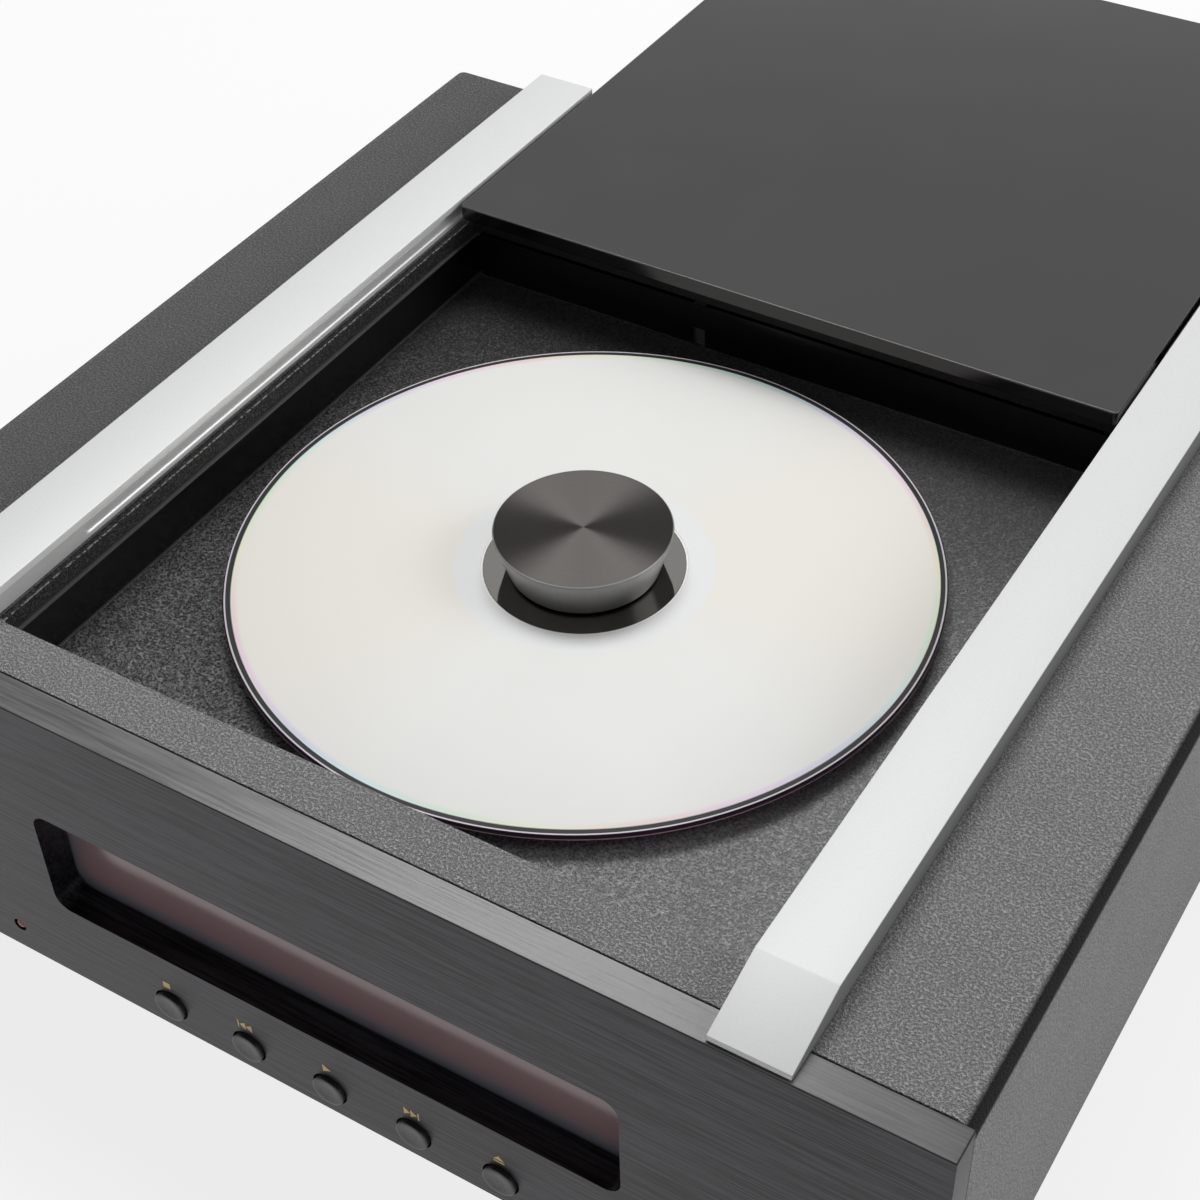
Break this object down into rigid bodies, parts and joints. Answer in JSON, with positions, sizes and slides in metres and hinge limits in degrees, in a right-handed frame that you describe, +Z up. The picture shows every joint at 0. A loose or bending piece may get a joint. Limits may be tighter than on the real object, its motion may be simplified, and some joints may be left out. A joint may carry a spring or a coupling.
{
  "type": "disc player",
  "caption": "Compact top-loading disc player: lid slid open along two bright rails, a disc on its turntable in the well and a turned puck holding it.",
  "frame": {"origin": "under the middle of the whole outline with the lid open, on the surface the feet stand on", "axes": "+X to the right seen from the front, +Y from the front to the rear along the rails, +Z up"},
  "size_m": [0.206, 0.2808, 0.078],
  "materials": {
    "textured_black_paint": "fine textured black paint",
    "satin_silver": "fine blasted, clear anodised",
    "brushed_black_aluminium": "brushed along its length, black anodised",
    "moulded_black": "moulded with a fine grain",
    "smoked_acrylic": "dark smoked, satin top",
    "smoked_window": "clear smoked, polished",
    "white_disc_face": "plain white printed face",
    "turned_anthracite": "turned, dark anodised",
    "button_black": "black anodised",
    "plain_steel": "ground",
    "zinc_sheet": "zinc plated",
    "cast_zinc": "as cast",
    "black_rubber": "matt",
    "black_plastic": "moulded",
    "white_plastic": "moulded",
    "circuit_board": "green resist with black packages",
    "lens_glass": "coated lens",
    "display_red": "dark red filter",
    "nickel": "nickel plated magnet",
    "gilt_brass": "gilt",
    "ribbon_grey": "flat ribbon"
  },
  "bodies": {
    "root": {"base_pan": "zinc_sheet", "top_cover": "textured_black_paint", "front_panel": "brushed_black_aluminium", "rear_panel": "textured_black_paint", "left_rail": "satin_silver", "right_rail": "satin_silver", "disc_well": "moulded_black", "lid_sensor": "black_plastic", "spindle_motor": "cast_zinc", "mechanism_plate": "cast_zinc", "mechanism_damper_1": "black_rubber", "mechanism_damper_2": "black_rubber", "mechanism_damper_3": "black_rubber", "mechanism_damper_4": "black_rubber", "guide_rod_left": "plain_steel", "guide_rod_right": "plain_steel", "feed_motor": "cast_zinc", "display_window": "smoked_window", "display_module": "display_red", "remote_sensor": "black_plastic", "front_board": "circuit_board", "power_light": "white_plastic", "main_board": "circuit_board", "phono_socket_left": "gilt_brass", "phono_socket_right": "gilt_brass", "digital_socket": "gilt_brass", "power_inlet": "black_plastic", "ribbon": "ribbon_grey", "foot_left_front": "black_rubber", "foot_left_rear": "black_rubber", "foot_right_front": "black_rubber", "foot_right_rear": "black_rubber", "cover_screw_left_front": "plain_steel", "cover_screw_left_rear": "plain_steel", "cover_screw_right_front": "plain_steel", "cover_screw_right_rear": "plain_steel", "rear_screw_left": "plain_steel", "rear_screw_right": "plain_steel", "front_screw_left": "plain_steel", "front_screw_right": "plain_steel"},
    "lid": {"lid": "smoked_acrylic", "lid_runner_left": "black_plastic", "lid_runner_right": "black_plastic", "lid_magnet": "nickel"},
    "turntable": {"turntable_hub": "white_plastic", "friction_ring": "black_rubber", "spindle_shaft": "plain_steel"},
    "disc": {"disc": "white_disc_face"},
    "puck": {"puck": "turned_anthracite", "puck_magnet": "nickel"},
    "sled": {"laser_sled": "black_plastic"},
    "lens": {"objective_lens": "lens_glass"},
    "feed_screw": {"feed_screw": "gilt_brass"},
    "button_stop": {"button_stop": "button_black"},
    "button_back": {"button_back": "button_black"},
    "button_play": {"button_play": "button_black"},
    "button_next": {"button_next": "button_black"},
    "button_open": {"button_open": "button_black"},
    "power_button": {"power_button": "button_black"}
  },
  "joints": [
    {"name": "lid_slide", "type": "slide", "parent": "root", "child": "lid", "axis": [0, 1, 0], "range_m": [-0.129, 0]},
    {"name": "turntable_spin", "type": "hinge", "parent": "root", "child": "turntable", "pos_m": [0, -0.0596, 0.06], "axis": [0, 0, 1], "continuous": true},
    {"name": "disc_lift", "type": "slide", "parent": "turntable", "child": "disc", "axis": [0, 0, 1], "range_m": [0, 0.03]},
    {"name": "puck_lift", "type": "slide", "parent": "disc", "child": "puck", "axis": [0, 0, 1], "range_m": [0, 0.04]},
    {"name": "sled_slide", "type": "slide", "parent": "root", "child": "sled", "axis": [0, 1, 0], "range_m": [0, 0.036]},
    {"name": "feed_screw_turn", "type": "hinge", "parent": "root", "child": "feed_screw", "pos_m": [0.032, -0.0596, 0.0465], "axis": [0, 1, 0], "range_deg": [0, 4320]},
    {"name": "lens_focus", "type": "slide", "parent": "sled", "child": "lens", "axis": [0, 0, 1], "range_m": [-0.0004, 0.0004], "stiffness_N_per_m": 19},
    {"name": "button_stop_press", "type": "slide", "parent": "root", "child": "button_stop", "axis": [0, 1, 0], "range_m": [0, 0.0009], "stiffness_N_per_m": 1600, "springref_m": -0.0003},
    {"name": "button_back_press", "type": "slide", "parent": "root", "child": "button_back", "axis": [0, 1, 0], "range_m": [0, 0.0009], "stiffness_N_per_m": 1600, "springref_m": -0.0003},
    {"name": "button_play_press", "type": "slide", "parent": "root", "child": "button_play", "axis": [0, 1, 0], "range_m": [0, 0.0009], "stiffness_N_per_m": 1600, "springref_m": -0.0003},
    {"name": "button_next_press", "type": "slide", "parent": "root", "child": "button_next", "axis": [0, 1, 0], "range_m": [0, 0.0009], "stiffness_N_per_m": 1600, "springref_m": -0.0003},
    {"name": "button_open_press", "type": "slide", "parent": "root", "child": "button_open", "axis": [0, 1, 0], "range_m": [0, 0.0009], "stiffness_N_per_m": 1600, "springref_m": -0.0003},
    {"name": "power_button_press", "type": "slide", "parent": "root", "child": "power_button", "axis": [0, 1, 0], "range_m": [0, 0.0009], "stiffness_N_per_m": 1600, "springref_m": -0.0003}
  ],
  "couplings": [
    {"joint": "feed_screw_turn", "follows": "sled_slide", "rad_per_m": 2094.4}
  ]
}
